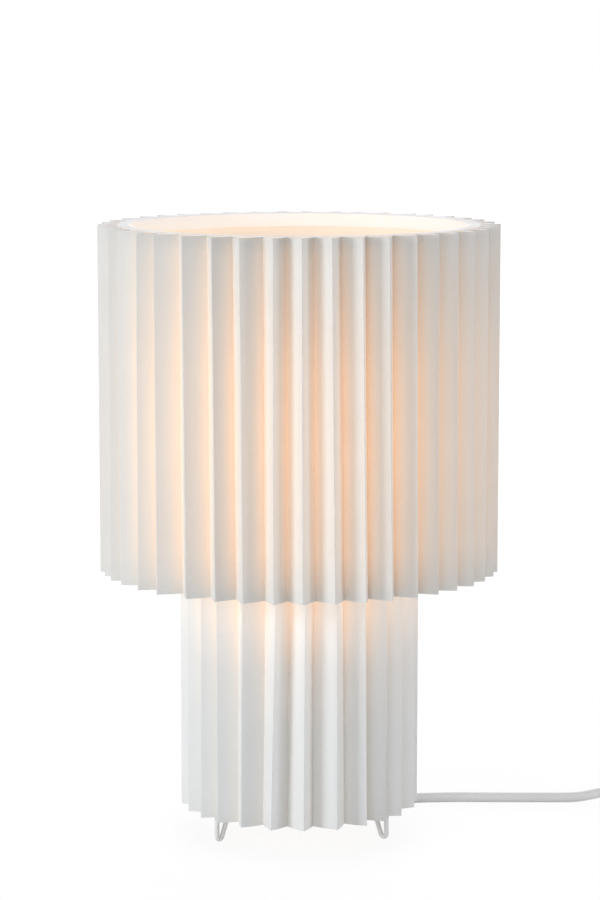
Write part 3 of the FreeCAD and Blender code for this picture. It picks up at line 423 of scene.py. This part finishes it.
def braid(name):
    """Textile sleeve: two sets of yarns wound opposite ways over and under each other."""
    n = Nodes(name)
    split = n.new("ShaderNodeSeparateXYZ")
    n.link(n.new("ShaderNodeUVMap", uv_map="Along").outputs[0], split.inputs[0])
    around = n.math("MULTIPLY", split.outputs["X"], YARNS)
    along = n.math("MULTIPLY", split.outputs["Y"], CROSSINGS_A_METRE)
    yarns = []
    for way in ("ADD", "SUBTRACT"):
        phase = n.math("MULTIPLY", n.math(way, around, along), 2.0 * math.pi)
        yarns.append(n.math("MULTIPLY_ADD", n.math("SINE", phase), 0.5, 0.5))
    raised = n.math("MAXIMUM", yarns[0], yarns[1])
    fuzz = n.noise(2600.0, 2.0)
    # The yarns' low parts are a darker grey: painted shade between the yarns.
    shade = n.mix(n.span(raised, 0.35, 0.95), (0.84, 0.84, 0.855), (0.96, 0.96, 0.97))
    shade = n.mix(n.span(fuzz, 0.35, 0.75, 0.0, 0.3), shade, (0.97, 0.97, 0.98))
    n.set(Base_Color=shade, Roughness=0.85, Specular_IOR_Level=0.3, Sheen_Weight=0.25)
    n.bump(n.math("ADD", raised, n.math("MULTIPLY", fuzz, 0.3)), 0.45, 0.00035)
    return n.material


SHADE_GLOW = [(0.0, 0.02), (0.045, 0.35), (0.13, 0.68), (0.4, 0.88), (0.62, 0.8), (0.82, 0.48),
              (0.95, 0.3), (1.0, 0.04)]
BASE_GLOW = [(0.0, 0.0), (0.4, 0.0), (0.65, 0.12), (0.85, 0.5), (1.0, 0.7)]
shade_paper_look = paper("shade_paper", SHADE_PAPER, SHADE_RADIUS, SHADE_DEPTH, SHADE_LOW, SHADE_TOP,
                         SHADE_GLOW, 0.33)
base_paper_look = paper("base_paper", BASE_PAPER, BASE_RADIUS, BASE_DEPTH, BASE_LOW, BASE_TOP,
                        BASE_GLOW, 0.36)
# The inner faces of the shade's folds glow cool near the top: painted light, standing in for light that
# falls in from above.
paper_inside_painted_light = lit("shade_paper_inside", (0.87, 0.87, 0.87), 0.88, (0.86, 0.92, 1.0), SHADE_LOW,
                   SHADE_TOP, [(0.0, 0.1), (0.8, 0.1), (0.93, 0.6), (1.0, 1.0)], 0.17,
                   scale=1500.0, vary=0.02, bump=0.15, specular=0.25).material
cord_look = braid("textile_sleeve")
liner_look = lit("shade_backing", (0.68, 0.66, 0.62), 0.45, (1.0, 0.76, 0.58), SHADE_LOW, SHADE_TOP,
                 [(0.0, 0.35), (0.3, 1.0), (0.6, 1.0), (0.82, 0.72), (1.0, 0.66)], 0.5, scale=400.0,
                 vary=0.015).material
base_liner_look = lit("base_backing", (0.86, 0.84, 0.8), 0.5, (1.0, 0.6, 0.3), BASE_LOW, BASE_TOP,
                      [(0.0, 0.0), (0.6, 0.2), (1.0, 1.0)], 0.25, scale=400.0, vary=0.015).material
rim_look = lit("rim_tape", (0.9, 0.91, 0.93), 0.8, (1.0, 0.86, 0.74), SHADE_LOW, SHADE_TOP,
               [(0.0, 0.12), (0.03, 0.3), (0.95, 1.0), (0.997, 0.9), (1.0, 0.45)], 0.27,
               scale=1300.0, vary=0.015, bump=0.2, specular=0.25).material
wire_white = plain("painted_wire", (0.84, 0.84, 0.83), 0.4, vary=0.03, bump=0.05).material
leg_paint = plain("leg_paint", (0.92, 0.93, 0.93), 0.2, vary=0.02, bump=0.04, coat=0.4,
                  scale=700.0).material
hub_paint = plain("hub_paint", (0.84, 0.84, 0.83), 0.35, vary=0.03, bump=0.1).material
zinc = plain("zinc_steel", (0.62, 0.62, 0.61), 0.34, 1.0, 1200.0, 0.08, 0.08,
             stretch=(1.0, 1.0, 0.2)).material
white_moulded = plain("white_moulded", (0.84, 0.84, 0.83), 0.32, vary=0.02, bump=0.06,
                      coat=0.15).material
nylon = plain("nylon", (0.8, 0.8, 0.79), 0.55, vary=0.03, bump=0.12).material
plug_moulded = plain("plug_moulded", (0.82, 0.82, 0.81), 0.42, vary=0.025, bump=0.14,
                     scale=1500.0).material
rocker_moulded = plain("rocker_moulded", (0.76, 0.76, 0.75), 0.2, vary=0.02, bump=0.04,
                       coat=0.3).material
ceramic = plain("ceramic", (0.82, 0.8, 0.74), 0.6, vary=0.05, bump=0.16, scale=600.0).material
brass = plain("brass", (0.78, 0.6, 0.28), 0.3, 1.0, 900.0, 0.08, 0.06).material
nickel = plain("nickel", (0.74, 0.73, 0.71), 0.18, 1.0, 1400.0, 0.05, 0.05,
               stretch=(0.2, 1.0, 1.0)).material
insulation = plain("wire_insulation", (0.16, 0.3, 0.55), 0.4, vary=0.06, bump=0.08).material
cap_metal = plain("bulb_cap_metal", (0.76, 0.76, 0.75), 0.28, 1.0, 900.0, 0.07, 0.07,
                  stretch=(1.0, 1.0, 0.3)).material
black_glass = plain("black_glass", (0.02, 0.02, 0.022), 0.15, vary=0.2, bump=0.05, coat=0.4).material
housing_look = lit("bulb_housing", (0.84, 0.84, 0.82), 0.4, (1.0, 0.75, 0.5), 0.217, 0.2562,
                   [(0.0, 0.1), (1.0, 1.0)], 0.3, vary=0.02, bump=0.08).material
board_look = plain("bulb_board", (0.7, 0.7, 0.66), 0.5, 0.6, vary=0.06, bump=0.1).material
opal_look = lit("opal_globe", (0.9, 0.86, 0.78), 0.3, (1.0, 0.8, 0.55), 0.25, 0.2955,
                [(0.0, 0.55), (0.35, 1.0), (1.0, 0.9)], 0.9, vary=0.01, bump=0.03).material


def dress(material, *names):
    """Every slot of a CAD node gets the material."""
    for name in names:
        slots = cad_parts[name].material_slots
        if not slots:
            raise RuntimeError("no slot on " + name)
        for slot in slots:
            slot.link = "OBJECT"
            slot.material = material


def wear(piece, material):
    piece.data.materials.clear()
    piece.data.materials.append(material)


dress(liner_look, "shade_liner")
dress(base_liner_look, "base_liner")
dress(wire_white, "shade_top_ring", "shade_bottom_ring", "base_top_ring", "base_bottom_ring",
      "spider_ring", "spider_arm_1", "spider_arm_2", "spider_arm_3")
dress(leg_paint, "leg_1", "leg_2", "leg_3")
dress(hub_paint, "hub_plate")
dress(zinc, "hub_washer", "hub_nut", "threaded_tube", "cord_grip_screw", "terminal_screws",
      "switch_screws", "rocker_pin")
dress(white_moulded, "holder_cap", "holder_body", "shade_ring_nut", "switch_base", "switch_cover")
dress(nylon, "cord_grip")
dress(plug_moulded, "plug_body")
for piece in (relief_in, relief_out, relief_plug):
    wear(piece, plug_moulded)
dress(rocker_moulded, "switch_rocker")
dress(ceramic, "holder_insert")
dress(brass, "holder_screw_shell", "holder_centre_contact", "switch_contacts", "bulb_contact")
dress(nickel, "plug_pins")
dress(insulation, "inner_leads")
dress(cap_metal, "bulb_cap")
dress(housing_look, "bulb_housing")
dress(board_look, "bulb_board")
dress(opal_look, "bulb_globe")
dress(black_glass, "bulb_insulator")

# Width in millimetres of the rounding along a moulded piece's edges.
SOFT_EDGES = {"plug_body": 1.1, "switch_cover": 0.9, "switch_base": 0.5, "switch_rocker": 0.35,
              "shade_ring_nut": 0.5, "holder_body": 0.4}
for name, width in SOFT_EDGES.items():
    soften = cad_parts[name].modifiers.new("soft_edges", "BEVEL")
    soften.width = width * MM
    soften.segments = 3
    soften.limit_method = "ANGLE"
    soften.angle_limit = math.radians(40.0)
    soften.harden_normals = True
wear(cord_in, cord_look)
wear(cord_out, cord_look)


# ---------------------------------------------------------------- pleated paper

FOLD_BEND, THICKNESS = 0.03, 0.42 * MM


def rounded_depth(share):
    """Depth across half a straight fold, from 0 at the peak to 1 in the valley, both just rounded."""
    if share < FOLD_BEND:
        return (share * share + FOLD_BEND * FOLD_BEND) / (2.0 * FOLD_BEND)
    if share > 1.0 - FOLD_BEND:
        left = 1.0 - share
        return 1.0 - (left * left + FOLD_BEND * FOLD_BEND) / (2.0 * FOLD_BEND)
    return share


# Where a fold's sheet has its points, as shares of the way from the peak to the valley.
FOLD_STOPS = (0.0, 0.02, 0.04, 0.07, 0.14, 0.28, 0.42, 0.56, 0.7, 0.84, 0.92, 0.955, 0.98)


def pleats(name, count, azimuth, radius, depth, low, high, offsets, leans, dips, rows, seed):
    """Folded sheet with both its faces. Each fold has its own place, depth and lean.

    offsets, leans and dips are degrees by fold, counted from the front: where its peak is off the
    even spacing, how far it turns from bottom to top, and where its valley is off the middle. A fold
    that they don't name, mostly one that the photo doesn't show, gets small random ones."""
    chance = random.Random(seed)
    pitch = 360.0 / count
    shifts, tilts, peaks, valleys, bows, strays = [], [], [], [], [], []
    half = count // 2
    for index in range(count):
        order = index if index <= half else index - count
        shifts.append(offsets.get(order, chance.uniform(-0.09, 0.09) * pitch))
        tilts.append(leans.get(order, chance.uniform(-0.07, 0.07) * pitch))
        peaks.append(chance.uniform(0.0, 0.0009))
        valleys.append(chance.uniform(0.0, 0.05))
        bows.append((chance.uniform(-0.018, 0.018) * pitch, chance.uniform(0.0, 6.28)))
        strays.append(dips.get(order, chance.uniform(-0.08, 0.08) * pitch))
    stops = list(FOLD_STOPS) + [1.0] + [2.0 - stop for stop in reversed(FOLD_STOPS[1:])]

    def at_peak(index, rise):
        """Azimuth of a peak in degrees at a share of the height."""
        turn, wrapped = divmod(index, count)
        bow, phase = bows[wrapped]
        return (azimuth + turn * 360.0 + wrapped * pitch + shifts[wrapped]
                + tilts[wrapped] * rise + bow * (math.sin(2.6 * rise + phase) - math.sin(phase)))

    def ring(rise):
        """Radius and azimuth of every point of the outside face at a share of the height."""
        row = []
        for index in range(count):
            start, end = at_peak(index, rise), at_peak(index + 1, rise)
            dip = (start + end) / 2.0 + strays[index]
            after = (index + 1) % count
            for stop in stops:
                share = stop if stop <= 1.0 else 2.0 - stop
                near = index if stop <= 1.0 else after
                sink = peaks[near] * (1.0 - share) + depth * rounded_depth(share) * (
                    1.0 - valleys[index] * smoothed(share))
                turned = (start + (dip - start) * stop if stop <= 1.0
                          else dip + (end - dip) * (stop - 1.0))
                row.append((radius - sink, turned))
        return row

    def flat(row):
        """Points of a row in the plane."""
        return [Vector((r * math.sin(math.radians(a)), -r * math.cos(math.radians(a)))) for r, a in row]

    def inner(points):
        """The sheet's inside face, one thickness in along its own slope."""
        result = []
        for index, point in enumerate(points):
            before, after = points[index - 1], points[(index + 1) % len(points)]
            first, second = (point - before).normalized(), (after - point).normalized()
            along = (first + second).normalized()
            normal = Vector((-along.y, along.x))
            if normal.dot(point) > 0.0:
                normal.negate()
            result.append(point + normal * THICKNESS)
        return result

    outer_verts, inner_verts, width = [], [], count * len(stops)
    for line in range(rows + 1):
        rise = line / rows
        height = low + (high - low) * rise
        points = flat(ring(rise))
        outer_verts += [(point.x, point.y, height) for point in points]
        inner_verts += [(point.x, point.y, height) for point in inner(points)]
    verts, outside, top = outer_verts + inner_verts, len(outer_verts), rows * width
    faces = []
    for line in range(rows):
        for column in range(width):
            nxt = (column + 1) % width
            one = (line * width + column, line * width + nxt,
                   (line + 1) * width + nxt, (line + 1) * width + column)
            faces.append(one)
            faces.append(tuple(outside + corner for corner in reversed(one)))
    for column in range(width):
        nxt = (column + 1) % width
        faces.append((nxt, column, outside + column, outside + nxt))
        faces.append((top + column, top + nxt, outside + top + nxt, outside + top + column))
    return add_mesh(name, verts, faces, sharp=50.0)


SHADE_OFFSETS = {-10: 0.7, -9: -0.75, -8: -1.9, -7: -2.9, -6: -2.0, -5: -2.1, -4: -0.2, -3: 0.5,
                 -2: 0.2, -1: 0.4, 0: 0.0, 1: 0.5, 2: 0.8, 3: 0.0, 4: 0.0, 5: -0.7, 6: -1.4,
                 7: -1.5, 8: -1.8, 9: -2.2, 10: -3.1, 11: -2.3, 12: -1.2, -11: 1.2, -12: 0.8}
SHADE_LEANS = {-4: -0.6, -3: -0.8, -2: -0.85, -1: -0.1, 0: -0.3, 1: -1.1, 2: -1.2, 3: -1.2,
               4: -0.9, 5: -0.6}
BASE_OFFSETS = {-6: 0.4, -5: 1.5, -4: 0.5, -3: -1.6, -2: -2.1, -1: -1.2, 0: 0.0, 1: 1.7, 2: 2.9,
                3: 0.9, 4: -1.1, 5: 1.6}
BASE_LEANS = {-2: 1.0, -1: 2.5, 0: 0.9, 1: -0.2, 2: -1.4}
SHADE_DIPS = {-3: 0.0, -2: 0.8, -1: -0.6, 0: -0.3, 1: -0.3, 2: -1.0}
BASE_DIPS = {-2: 0.6, -1: -1.1, 0: -2.5, 1: 0.0}

SHADE_AZIMUTH, SHADE_ROWS, SHADE_SEED, PAPER_TOP = 1.1, 16, 11, SHADE_TOP - 0.00025
BASE_AZIMUTH, BASE_ROWS, BASE_SEED = 2.3, 14, 23

shade_paper = pleats("shade_paper", SHADE_FOLDS, SHADE_AZIMUTH, SHADE_RADIUS, SHADE_DEPTH, SHADE_LOW,
                     PAPER_TOP, SHADE_OFFSETS, SHADE_LEANS, SHADE_DIPS, SHADE_ROWS, SHADE_SEED)
wear(shade_paper, shade_paper_look)
shade_paper.data.materials.append(paper_inside_painted_light)
# Every second face of the sheet is an inside one; its top and bottom edges come after them.
for index in range(1, 2 * SHADE_ROWS * SHADE_FOLDS * 2 * len(FOLD_STOPS), 2):
    shade_paper.data.polygons[index].material_index = 1
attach(shade_paper, "shade")
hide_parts("shade_pleats")

base_paper = pleats("base_paper", BASE_FOLDS, BASE_AZIMUTH, BASE_RADIUS, BASE_DEPTH, BASE_LOW,
                    BASE_TOP, BASE_OFFSETS, BASE_LEANS, BASE_DIPS, BASE_ROWS, BASE_SEED)
wear(base_paper, base_paper_look)
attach(base_paper, "stand")
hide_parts("base_pleats")


# ---------------------------------------------------------------- hems

OPENING, INNER_EDGE, LINER, RIM_OUTER = 0.1170, 0.1172, 0.1237, 0.1254


def wavy(radius, azimuth):
    """Hand-laid tape: its inner edge wanders by a tenth of a millimetre."""
    stray = 0.00012 * math.sin(7.0 * azimuth + 0.6) + 0.00008 * math.sin(17.0 * azimuth)
    return stray if radius < INNER_EDGE else 0.0


top_rim = lathe("top_rim", [
    (OPENING + 0.0002, SHADE_TOP - 0.0099), (OPENING + 0.0006, SHADE_TOP - 0.0099),
    (OPENING + 0.0006, SHADE_TOP - 0.0006), (LINER, SHADE_TOP - 0.0006),
    (LINER, SHADE_TOP - 0.00025), (RIM_OUTER, SHADE_TOP - 0.00025),
    (RIM_OUTER, SHADE_TOP - 0.0001), (RIM_OUTER - 0.0002, SHADE_TOP),
    (OPENING + 0.0018, SHADE_TOP), (OPENING + 0.0009, SHADE_TOP - 0.0001),
    (OPENING + 0.0003, SHADE_TOP - 0.0005), (OPENING + 0.0001, SHADE_TOP - 0.0012),
    (OPENING + 0.0001, SHADE_TOP - 0.0095)], wobble=wavy)
wear(top_rim, rim_look)
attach(top_rim, "shade")
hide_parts("shade_top_hem")
dress(rim_look, "shade_bottom_hem")


# ---------------------------------------------------------------- floor, light and world

ground = Nodes("floor")
glow = ground.new("ShaderNodeEmission")
glow.inputs["Color"].default_value = (1.0, 1.0, 1.0, 1.0)
glow.inputs["Strength"].default_value = 1.09
path = ground.new("ShaderNodeLightPath")
seen = ground.math("MAXIMUM", path.outputs["Is Camera Ray"], path.outputs["Is Glossy Ray"])
seen = ground.math("MAXIMUM", seen, path.outputs["Is Transmission Ray"])
away = ground.new("ShaderNodeVectorMath", operation="LENGTH")
ground.link(ground.place, away.inputs[0])
# Near the lamp the floor shows a share of its own shading, and so the lamp's shadow.
seen = ground.math("MULTIPLY", seen, ground.span(away.outputs["Value"], 0.45, 1.6, 0.82, 1.0))
ground.set(Base_Color=ground.mix(ground.noise(3.0), (0.8, 0.8, 0.8), (0.82, 0.82, 0.82)),
           Roughness=0.9, Specular_IOR_Level=0.1)
blend = ground.new("ShaderNodeMixShader")
ground.link(seen, blend.inputs[0])
ground.link(ground.shader.outputs[0], blend.inputs[1])
ground.link(glow.outputs[0], blend.inputs[2])
ground.link(blend.outputs[0], ground.output.inputs["Surface"])
FLOOR_HALF = 8
floor = add_mesh("floor", [(-FLOOR_HALF, -FLOOR_HALF, 0), (FLOOR_HALF, -FLOOR_HALF, 0),
                           (FLOOR_HALF, FLOOR_HALF, 0), (-FLOOR_HALF, FLOOR_HALF, 0)], [(0, 1, 2, 3)])
floor.location.z = -0.2 * MM
wear(floor, ground.material)

world = bpy.data.worlds.new("world")
scene.world = world
world.use_nodes = True
nodes, links = world.node_tree.nodes, world.node_tree.links
nodes.clear()
swap = nodes.new("ShaderNodeMixShader")
# First what lights the lamp, then what is seen behind it.
for target, colour, strength in ((1, (0.95, 0.96, 1.0), 0.3), (2, (1.0, 1.0, 1.0), 1.0)):
    air = nodes.new("ShaderNodeBackground")
    air.inputs["Color"].default_value = (*colour, 1.0)
    air.inputs["Strength"].default_value = strength
    links.new(air.outputs[0], swap.inputs[target])
rays = nodes.new("ShaderNodeLightPath")
seen = rays.outputs["Is Camera Ray"]
for kind in ("Is Glossy Ray", "Is Transmission Ray"):
    either = nodes.new("ShaderNodeMath")
    either.operation = "MAXIMUM"
    links.new(seen, either.inputs[0])
    links.new(rays.outputs[kind], either.inputs[1])
    seen = either.outputs[0]
links.new(seen, swap.inputs[0])
links.new(swap.outputs[0], nodes.new("ShaderNodeOutputWorld").inputs["Surface"])


def area_light(name, place, target, size, power, colour):
    """Soft lamp at a place in metres, turned to its target. size is (width, height), power in watts."""
    data = bpy.data.lights.new(name, "AREA")
    data.shape = "RECTANGLE"
    data.size, data.size_y = size
    data.energy = power
    data.color = colour
    lamp = bpy.data.objects.new(name, data)
    scene.collection.objects.link(lamp)
    lamp.location = place
    lamp.rotation_euler = (Vector(target) - Vector(place)).to_track_quat("-Z", "Y").to_euler()


area_light("key", (-2.05, -1.28, 0.45), (0, 0, 0.16), (0.9, 1.2), 26.0, (0.96, 0.99, 1.0))
area_light("right", (2.35, -0.85, 0.35), (0, 0, 0.12), (0.7, 1.1), 16.5, (1.0, 0.99, 0.97))
area_light("top", (-0.1, -0.3, 2.3), (0, 0, 0.4), (1.2, 1.2), 9.0, (0.97, 0.98, 1.0))
area_light("front", (-0.6, -2.55, 0.6), (0, 0, 0.18), (1.3, 1.2), 10.0, (0.97, 0.99, 1.0))
area_light("back", (0.4, 1.9, 1.1), (0, 0, 0.2), (1.6, 1.2), 17.0, (1.0, 1.0, 1.0))
